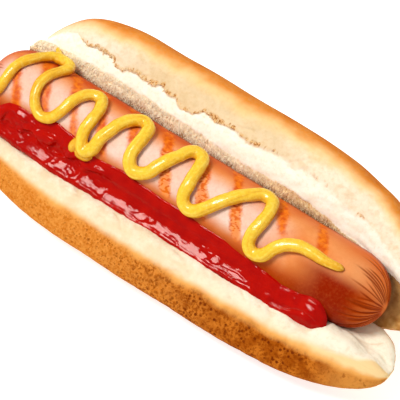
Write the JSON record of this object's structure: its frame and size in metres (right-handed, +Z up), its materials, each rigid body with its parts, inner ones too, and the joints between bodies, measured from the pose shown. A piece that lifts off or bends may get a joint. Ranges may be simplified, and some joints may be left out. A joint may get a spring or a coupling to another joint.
{
  "type": "hot dog",
  "caption": "Hot dog: a grilled frankfurter in an opened soft bun, with a bead of ketchup along its front and a zigzag of mustard on top.",
  "frame": {"origin": "middle of the footprint, on the surface that the bun rests on", "axes": "+X along the bun towards the frankfurter's domed free end, +Y from the open heel half towards the standing crown half, +Z up"},
  "size_m": [0.1624, 0.0696, 0.0361],
  "materials": {
    "bun": "soft baked bread, golden brown crust and cream crumb, matte",
    "sausage": "grilled frankfurter skin, satin, with darker grill marks",
    "ketchup": "wet glossy sauce",
    "mustard": "smooth glossy sauce"
  },
  "bodies": {
    "root": {"bun": "bun", "sausage": "sausage", "ketchup": "ketchup", "mustard": "mustard"}
  },
  "joints": []
}
